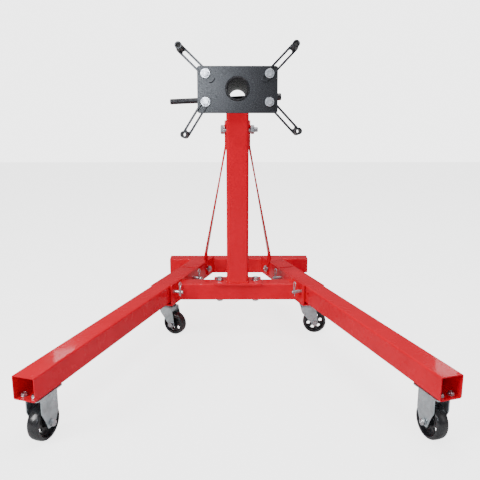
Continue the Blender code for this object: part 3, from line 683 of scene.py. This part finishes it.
cuts = [rod(6.5 * MM, -40 * MM, 40 * MM, "x", (0, 40 * MM, 0)),
        rod(6.5 * MM, -40 * MM, 40 * MM, "z", (0, 40 * MM, 0)),
        moved(rod(9.3 * MM, -45 * MM, 45 * MM, "z"), bar)]
place("shaft_tube", moved(turned(rings, 96, True), TURN_Y), HEAD, "head", BLACK, ["head_tube"],
      cut=cuts)
rings = [(-224 * MM, 7.4 * MM), (-223.3 * MM, 8.5 * MM), (-222.4 * MM, 9 * MM),
         (120 * MM, 9 * MM), (120.4 * MM, 10.6 * MM), (121.6 * MM, 12 * MM)]
rings += [(121.6 * MM + i * 2.2 * MM, (12 - 0.45 * (i % 2)) * MM) for i in range(1, 10)]
rings += [(143 * MM, 12 * MM), (145 * MM, 11.4 * MM), (146 * MM, 9.6 * MM)]
place("turning_bar", turned(rings, 40), HEAD @ bar, "handle_bar", BLACK, ["handle_bar"])
rings = [(30.6 * MM, 4.4 * MM), (31.8 * MM, 6 * MM), (51 * MM, 6 * MM), (51 * MM, 9.4 * MM),
         (52 * MM, 10.5 * MM)]
rings += [(52 * MM + i * 1.3 * MM, (10.5 - 0.5 * (i % 2)) * MM) for i in range(1, 10)]
rings += [(66 * MM, 10.5 * MM), (67.4 * MM, 9.6 * MM), (68 * MM, 8 * MM)]
place("index_pin", turned(rings, 40), HEAD @ Matrix.Translation((0, 40 * MM, 0)),
      "head_lock_pin", BRIGHT, ["head_lock_pin"])

for name, s, z, rx, rz in ARMS:
    reach = math.hypot(rx, rz)
    at = HEAD @ Matrix.Translation((s * 88 * MM, HEAD_FACE, z)) @ \
        Matrix.Rotation(-math.atan2(rz, rx), 4, "Y")
    back_end = reach - ARM_LEN + 11 * MM
    outline = arc(reach, 0, 11 * MM, -90, 90, 14) + arc(back_end, 0, 11 * MM, 90, 270, 14)
    slot = arc(reach - 16 * MM, 0, 5.25 * MM, -90, 90, 10)
    slot += arc(back_end, 0, 5.25 * MM, 90, 270, 10)
    boss = rod(9.5 * MM, -70.3 * MM, -1.3 * MM, "y", (reach, 0, 0), 48)
    place("link_" + name, panel(outline, -8.3 * MM, -0.3 * MM, "y"), at, "arm_" + name, BLACK,
          ["arm_" + name], add=[boss],
          cut=[panel(slot, -30 * MM, 30 * MM, "y"),
               rod(5.6 * MM, -120 * MM, 30 * MM, "y", (reach, 0, 0))], bevel=0.6 * MM, sharp=40)
    ring = [(reach + 9.8 * MM * math.cos(a), -8.6 * MM, 9.8 * MM * math.sin(a))
            for a in [math.tau * i / 30 for i in range(30)]]
    weld("bead_" + name, ring, 1.3 * MM, at, "arm_" + name, BLACK, True)
    bolt("clamp_" + name,
         at @ Matrix.Translation((0, -8.6 * MM, 0)) @ Matrix.Rotation(math.pi / 2, 4, "X"),
         "bolt_" + name, 5 * MM, 8.5 * MM, 7 * MM, (13 * MM, 2.2 * MM), 18 * MM, 4 * MM, 8.8 * MM,
         ["bolt_" + name])
circle = [(30.2 * MM * math.cos(a), -199.4 * MM, 30.2 * MM * math.sin(a))
          for a in [math.tau * i / 60 for i in range(60)]]
weld("bead_shaft_front", circle, 2.6 * MM, HEAD, "head", BLACK, True, 3.2 * MM)
circle = [(31 * MM * math.cos(a), -190.4 * MM, 31 * MM * math.sin(a))
          for a in [math.tau * i / 60 for i in range(60)]]
weld("bead_shaft_back", circle, 2.2 * MM, HEAD, "head", BLACK, True, 3.2 * MM)

# ------------------------------------------------------------------ frame welds
for word, side in SIDES:
    line = LEG[word]
    slope = -side * math.tan(SPLAY)
    face = -PLATE_OUT * side
    low, high = along(-27.5 * MM, -PLATE_OUT), along(27.5 * MM, -PLATE_OUT)
    weld(word + "_bead_cross_top", [(face, low, 177 * MM), (face, high, 177 * MM)], 2.2 * MM,
         line, "frame")
    weld(word + "_bead_cross_front", [(face, low, 124 * MM), (face, low, 176 * MM)], 2.2 * MM,
         line, "frame")
    weld(word + "_bead_cross_back", [(face, high, 128 * MM), (face, high, 176 * MM)], 2.2 * MM,
         line, "frame")
    for k, x in enumerate((-PLATE_OUT, PLATE_OUT)):
        u = mitre + slope * x
        weld(word + "_bead_bar_%d" % k, [(x, u, 128 * MM), (x, u, 176 * MM)], 2.0 * MM, line,
             "frame")
    x0, x1 = -PLATE_OUT + 1 * MM, PLATE_OUT - 1 * MM
    weld(word + "_bead_bar_top",
         [(x0, mitre + slope * x0, 177.4 * MM), (x1, mitre + slope * x1, 177.4 * MM)], 2.0 * MM,
         line, "frame")
    for k, x in enumerate((-30.3 * side * MM, 30.3 * side * MM)):
        crest = (183, 179)[k] * MM
        weld(word + "_bead_rail_%d" % k,
             [(x, 918 * MM, crest), (x, mitre + slope * x - 4 * MM, crest)], 2.0 * MM, line,
             "frame")
    for k, x in enumerate((-PLATE_OUT, PLATE_OUT)):
        weld(word + "_bead_base_%d" % k, [(x, 692 * MM, 121 * MM), (x, 796 * MM, 121 * MM)],
             1.5 * MM, line, "frame")

reach = 35 * MM
foot_line = [(-reach + 8 * MM, -reach), (reach - 8 * MM, -reach), (reach - 2 * MM, -reach + 2 * MM),
             (reach, -reach + 8 * MM), (reach, reach - 8 * MM), (reach - 2 * MM, reach - 2 * MM),
             (reach - 8 * MM, reach), (-reach + 8 * MM, reach), (-reach + 2 * MM, reach - 2 * MM),
             (-reach, reach - 8 * MM), (-reach, -reach + 8 * MM), (-reach + 2 * MM, -reach + 2 * MM)]
weld("bead_mast_foot", [(x, y, 184.6 * MM) for x, y in foot_line], 2.6 * MM, MAST, "frame",
     cyclic=True)
cope = []
for i in range(80):
    a = math.tau * i / 80
    x = max(-35 * MM, min(35 * MM, 50 * MM * math.cos(a)))
    y = max(-35 * MM, min(35 * MM, 50 * MM * math.sin(a)))
    drop = math.sqrt(max(0.0, (36.8 * MM) ** 2 - x * x))
    axis_z = (MAST.inverted() @ HEAD.translation).z - math.tan(math.radians(3.71)) * y
    cope.append((x, y, axis_z - drop))
weld("bead_mast_top", cope, 2.2 * MM, MAST, "frame", cyclic=True, pitch=3 * MM)

# ------------------------------------------------------------------ casters


def wheel(name, matrix, radius, half_rim, half_hub, hub_r, count, hole_r, hole_at, shift):
    """A cast wheel, its axle along Z: crowned tread, dished web with holes, and a long hub."""
    rim = radius - 9.5 * MM
    half_side = [(half_hub, 5.4 * MM), (half_hub, hub_r - 0.8 * MM), (half_hub - 0.8 * MM, hub_r),
                 (6 * MM, hub_r + 0.8 * MM), (3.8 * MM, hub_r + 1.6 * MM),
                 (2.9 * MM, hub_r + 3.2 * MM), (2.6 * MM, rim - 3.6 * MM),
                 (3.4 * MM, rim - 1.8 * MM), (6.5 * MM, rim - 0.6 * MM),
                 (half_rim - 1.2 * MM, rim), (half_rim - 0.3 * MM, rim + 1 * MM),
                 (half_rim, rim + 2.4 * MM), (half_rim - 0.3 * MM, radius - 5.6 * MM),
                 (half_rim - 1.3 * MM, radius - 3.4 * MM), (half_rim - 3.0 * MM, radius - 1.8 * MM),
                 (half_rim - 5.4 * MM, radius - 0.8 * MM), (4.0 * MM, radius - 0.1 * MM),
                 (0.9 * MM, radius - 0.05 * MM), (0.5 * MM, radius)]
    rings = half_side + [(-z, r) for z, r in reversed(half_side)]
    cuts = []
    for i in range(count):
        a = math.tau * (i + shift) / count
        cuts.append(rod(hole_r, -20 * MM, 20 * MM, "z",
                        (hole_at * math.cos(a), hole_at * math.sin(a), 0), 28))
    place(name + "_cast", turned(rings, 88, True), matrix, name, IRON, [name], cut=cuts, sharp=48)


def bracket(name, matrix, body, inside, top, outline, axis, across, replaces, hole):
    """A pressed U bracket of bent sheet along axis, its cheeks trimmed to an outline."""
    thick = 3 * MM
    outer = inside + thick
    bend = 5 * MM
    inner_bend = bend - thick
    low = -400 * MM
    profile = [(outer, low)] + arc(outer - bend, top - bend, bend, 0, 90, 6)
    profile += arc(-outer + bend, top - bend, bend, 90, 180, 6) + [(-outer, low)]
    profile += [(-inside, low)]
    profile += arc(-inside + inner_bend, top - thick - inner_bend, inner_bend, 180, 90, 5)
    profile += arc(inside - inner_bend, top - thick - inner_bend, inner_bend, 90, 0, 5)
    profile += [(inside, low)]
    sheet = loose(name, panel(profile, -60 * MM, 90 * MM, axis))
    boolean(sheet, "INTERSECT", panel(outline, -60 * MM, 60 * MM, across))
    bm = bmesh.new()
    bm.from_mesh(sheet.data)
    bpy.data.objects.remove(sheet)
    place(name, bm, matrix, body, ZINC, replaces, cut=[hole], bevel=0.5 * MM, sharp=45)


def axle(name, matrix, body, half_grip):
    """Axle bolt along Z with its head and nut outside the cheeks."""
    start = Matrix.Translation((0, 0, half_grip))
    bolt(name + "_bolt", matrix @ start, body, 5 * MM, 8 * MM, 7 * MM, (8.4 * MM, 1.4 * MM),
         2 * half_grip, 2.4 * MM, 7.6 * MM, [name])


for word, side in SIDES:
    line = LEG[word]
    body = word + "_leg"
    under = 126.7 * MM
    yoke = line @ Matrix.Translation((side * 6 * MM, 65 * MM, 44.5 * MM))
    turn = yoke @ Matrix.Rotation(math.pi / 2, 4, "Y")
    plate = rounded(64 * MM, 94 * MM, 6 * MM, 5)
    place(word + "_yoke_plate", panel(plate, under - 3 * MM, under, "z"),
          line @ Matrix.Translation((side * 3 * MM, 53 * MM, 0)), body, ZINC,
          bevel=0.5 * MM, sharp=50)
    crown = under - 3.2 * MM - 44.5 * MM
    shield = [(-30 * MM, crown + 5 * MM), (-30 * MM, 34 * MM), (-29 * MM, 30 * MM),
              (-27 * MM, 26 * MM), (-19.5 * MM, 11 * MM), (-13.5 * MM, -4.5 * MM)]
    shield += arc(-7 * MM, -4 * MM, 7 * MM, 200, 270, 5)
    shield += arc(10 * MM, -4 * MM, 7 * MM, 270, 335, 5)
    shield += [(24 * MM, 8 * MM), (29 * MM, 19 * MM), (30 * MM, 24 * MM),
               (30 * MM, crown + 5 * MM)]
    bracket(word + "_yoke_bracket", yoke, body, 18.5 * MM, crown, shield, "y", "x",
            [word + "_front_yoke"], rod(5.3 * MM, -60 * MM, 60 * MM, "x"))
    wheel(word + "_front_wheel", turn, 44.5 * MM, 15.5 * MM, 18.1 * MM, 12 * MM, 5, 7 * MM,
          24.5 * MM, 0.35)
    axle(word + "_front_axle", turn, body, 21.8 * MM)
    for i, (x, u) in enumerate(((-1, 18), (1, 18), (-1, 86), (1, 86))):
        at = line @ Matrix.Translation((x * 13.5 * MM, u * MM, 130 * MM))
        bolt("%s_caster_bolt_%d" % (word, i), at, body, 4 * MM, 6.5 * MM, 5.4 * MM,
             (8.6 * MM, 1.5 * MM), 7 * MM, 1.5 * MM, 0)

    swivel = Matrix.Translation(JOINTS[word + "_rear_swivel"]["pos_m"])
    swivel.translation.z = 0
    spin = JOINTS[word + "_rear_wheel_spin"]
    trail = Vector(spin["pos_m"]) - swivel.translation
    swivel = matrix_of(swivel.translation, (trail.x, trail.y, 0), (-trail.y, trail.x, 0))
    seat = line.inverted() @ swivel.translation
    trail = trail.xy.length
    under = 116.7 * MM
    plate = rounded(56 * MM, 78 * MM, 6 * MM, 5)
    place(word + "_swivel_plate", panel(plate, under - 3 * MM, under, "z"),
          line @ Matrix.Translation((seat.x, seat.y, 0)), "frame", ZINC,
          [word + "_rear_caster_plate"], bevel=0.5 * MM, sharp=50)
    for i, (x, y) in enumerate(((-19, -30), (19, -30), (-19, 30), (19, 30))):
        at = line @ Matrix.Translation((seat.x + x * MM, seat.y + y * MM, 113.7 * MM)) @ \
            Matrix.Rotation(math.pi, 4, "X")
        bolt("%s_swivel_bolt_%d" % (word, i), at, "frame", 4 * MM, 6.5 * MM, 5 * MM,
             (8.2 * MM, 1.4 * MM), 7 * MM, 2 * MM, 0)
    rings = [(96.4 * MM, 14 * MM), (96.4 * MM, 23 * MM), (97.4 * MM, 25 * MM),
             (99.4 * MM, 26 * MM), (101 * MM, 25.4 * MM), (102 * MM, 23.6 * MM),
             (103 * MM, 23.2 * MM), (104 * MM, 25 * MM), (106 * MM, 27 * MM),
             (109 * MM, 27.6 * MM), (111.4 * MM, 26.6 * MM), (113.0 * MM, 23.4 * MM),
             (113.4 * MM, 20 * MM)]
    fork_body = word + "_rear_fork"
    place(word + "_race", turned(rings, 72), swivel, fork_body, ZINC, [word + "_rear_fork"])
    shield = [(-22 * MM, 99 * MM), (-22 * MM, 88 * MM), (-17 * MM, 74 * MM)]
    shield += arc(trail, 38.1 * MM, 10.5 * MM, 205, 380, 14)
    shield += [(trail + 7 * MM, 66 * MM), (28 * MM, 86 * MM), (27 * MM, 99 * MM)]
    bracket(word + "_fork_bracket", swivel, fork_body, 18.3 * MM, 96.5 * MM, shield, "x", "y",
            [word + "_rear_fork"], rod(5.3 * MM, -60 * MM, 60 * MM, "y", (trail, 0, 38.1 * MM)))
    rings = [(88.2 * MM, 4 * MM), (88.4 * MM, 6.5 * MM), (90 * MM, 7.5 * MM), (93.4 * MM, 7.6 * MM)]
    place(word + "_kingpin", turned(rings, 36), swivel, fork_body, ZINC)
    hub = swivel @ Matrix.Translation((trail, 0, 38.1 * MM)) @ Matrix.Rotation(math.pi / 2, 4, "X")
    wheel(word + "_rear_wheel", hub, 38.1 * MM, 15 * MM, 17.9 * MM, 11 * MM, 6, 5.8 * MM,
          20.2 * MM, 0.23)
    axle(word + "_rear_axle", hub, fork_body, 21.6 * MM)

# ------------------------------------------------------------------ floor, light and camera
bm = bmesh.new()
bmesh.ops.create_grid(bm, x_segments=2, y_segments=2, size=6)
floor = loose("studio_floor", bm)
m, nodes, links, s = new_material("studio_floor_pale")
p = nodes.new("ShaderNodeTexCoord").outputs["Object"]
links.new(ramp(nodes, links, noise(nodes, links, p, 3.0, 3, 0.5).outputs["Fac"],
               [(0.3, (0.66, 0.66, 0.66)), (0.7, (0.70, 0.70, 0.70))]), s.inputs["Base Color"])
s.inputs["Roughness"].default_value = 0.85
s.inputs["Specular IOR Level"].default_value = 0.1
s.inputs["Emission Color"].default_value = (1, 1, 1, 1)
seen = nodes.new("ShaderNodeLightPath").outputs["Is Camera Ray"]
links.new(times(nodes, links, seen, 3.0), s.inputs["Emission Strength"])
floor.data.materials.append(m)


def softbox(name, place_at, aim, size, power, colour=(1, 1, 1)):
    light = bpy.data.lights.new(name, "AREA")
    light.color = colour
    light.shape = "RECTANGLE"
    light.size, light.size_y = size
    light.energy = power
    obj = bpy.data.objects.new(name, light)
    obj.location = place_at
    obj.rotation_euler = (Vector(aim) - Vector(place_at)).to_track_quat("-Z", "Y").to_euler()
    obj.visible_camera = False
    bpy.context.scene.collection.objects.link(obj)


softbox("key_left", (-2.3, -1.9, 1.9), (0.1, -0.1, 0.4), (0.9, 1.5), 70)
softbox("fill_right", (2.4, -1.8, 1.2), (0, -0.2, 0.4), (0.7, 1.4), 4)
softbox("front_satin", (-0.40, -2.75, 1.27), (-0.05, 0, 0.79), (0.46, 0.36), 15,
        (0.84, 0.91, 1.0))
softbox("overhead", (0.2, -0.4, 2.6), (0, -0.1, 0), (1.6, 1.2), 38)
softbox("back", (0.3, 2.0, 2.9), (0, 0, 0.5), (1.6, 0.8), 14)
softbox("glint_left", (-1.333, 2.6, 1.539), (-0.4, -0.4, 0.18), (0.16, 0.13), 0.6)
softbox("glint_right", (1.631, 2.6, 1.642), (0.4, -0.4, 0.18), (0.16, 0.13), 0.5)
world = bpy.data.worlds.new("studio_world")
world.use_nodes = True
nodes, links = world.node_tree.nodes, world.node_tree.links
nodes["Background"].inputs["Color"].default_value = (1, 1, 1, 1)
seen = nodes.new("ShaderNodeLightPath").outputs["Is Camera Ray"]
links.new(ramp(nodes, links, seen, [(0, (0.24, 0.24, 0.24)), (1, (3.9, 3.9, 3.9))]),
          nodes["Background"].inputs["Strength"])
bpy.context.scene.world = world

camera = bpy.data.objects.new("camera", bpy.data.cameras.new("camera"))
camera.data.lens = 44.75
camera.data.sensor_width = 36
camera.location = (-0.002, -1.8928 + MAST_Y, 0.7563)
camera.rotation_euler = (math.radians(76.96), 0, math.radians(-0.30))
bpy.context.scene.collection.objects.link(camera)
bpy.context.scene.camera = camera
